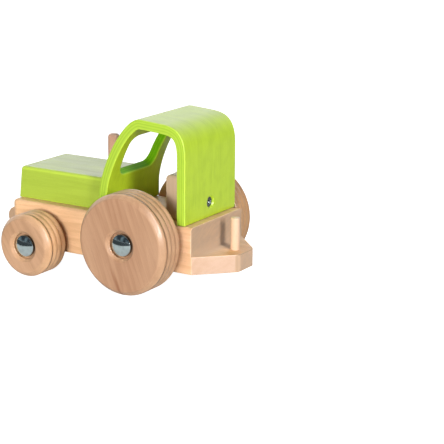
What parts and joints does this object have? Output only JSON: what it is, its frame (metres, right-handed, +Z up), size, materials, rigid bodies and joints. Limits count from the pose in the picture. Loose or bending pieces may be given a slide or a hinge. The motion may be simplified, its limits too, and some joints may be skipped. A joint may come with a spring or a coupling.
{
  "type": "toy tractor",
  "caption": "Wooden toy tractor with a hood, a bent plywood cab, a rear hitch peg and free-rolling grooved wheels.",
  "frame": {"origin": "on the ground, in the middle of the length and width", "axes": "+X to the tractor's front, +Y to its left, +Z up; the axles lie along Y"},
  "size_m": [0.1878, 0.1168, 0.1164],
  "materials": {
    "beech": "satin clear lacquer",
    "green_beech": "satin lime-green stain",
    "green_ply": "satin lime-green stain",
    "steel": "plain",
    "chrome": "polished"
  },
  "bodies": {
    "tractor": {"chassis": "beech", "hood": "green_beech", "seat_block": "beech", "bumper_bar": "beech", "cab_shell": "green_ply", "cab_screw": "steel", "hitch_peg": "beech", "exhaust_peg": "beech", "hood_dowel_rear": "beech", "hood_dowel_front": "beech", "cab_dowel_left": "beech", "cab_dowel_right": "beech", "seat_dowel": "beech", "bumper_dowel": "beech"},
    "rear_axle_set": {"rear_axle": "steel", "rear_cap_left": "chrome", "rear_cap_right": "chrome", "rear_washer_left": "steel", "rear_washer_right": "steel"},
    "rear_wheel_left_body": {"rear_wheel_left": "beech"},
    "rear_wheel_right_body": {"rear_wheel_right": "beech"},
    "front_axle_set": {"front_axle": "steel", "front_cap_left": "chrome", "front_cap_right": "chrome", "front_washer_left": "steel", "front_washer_right": "steel"},
    "front_wheel_left_body": {"front_wheel_left": "beech"},
    "front_wheel_right_body": {"front_wheel_right": "beech"}
  },
  "joints": [
    {"name": "rear_axle_spin", "type": "hinge", "parent": "tractor", "child": "rear_axle_set", "pos_m": [-0.0299, 0, 0.035], "axis": [0, 1, 0], "continuous": true},
    {"name": "rear_wheel_left_spin", "type": "hinge", "parent": "rear_axle_set", "child": "rear_wheel_left_body", "pos_m": [-0.0299, 0, 0.035], "axis": [0, 1, 0], "continuous": true},
    {"name": "rear_wheel_right_spin", "type": "hinge", "parent": "rear_axle_set", "child": "rear_wheel_right_body", "pos_m": [-0.0299, 0, 0.035], "axis": [0, 1, 0], "continuous": true},
    {"name": "front_axle_spin", "type": "hinge", "parent": "tractor", "child": "front_axle_set", "pos_m": [0.0521, 0, 0.0222], "axis": [0, 1, 0], "continuous": true},
    {"name": "front_wheel_left_spin", "type": "hinge", "parent": "front_axle_set", "child": "front_wheel_left_body", "pos_m": [0.0521, 0, 0.0222], "axis": [0, 1, 0], "continuous": true},
    {"name": "front_wheel_right_spin", "type": "hinge", "parent": "front_axle_set", "child": "front_wheel_right_body", "pos_m": [0.0521, 0, 0.0222], "axis": [0, 1, 0], "continuous": true}
  ]
}
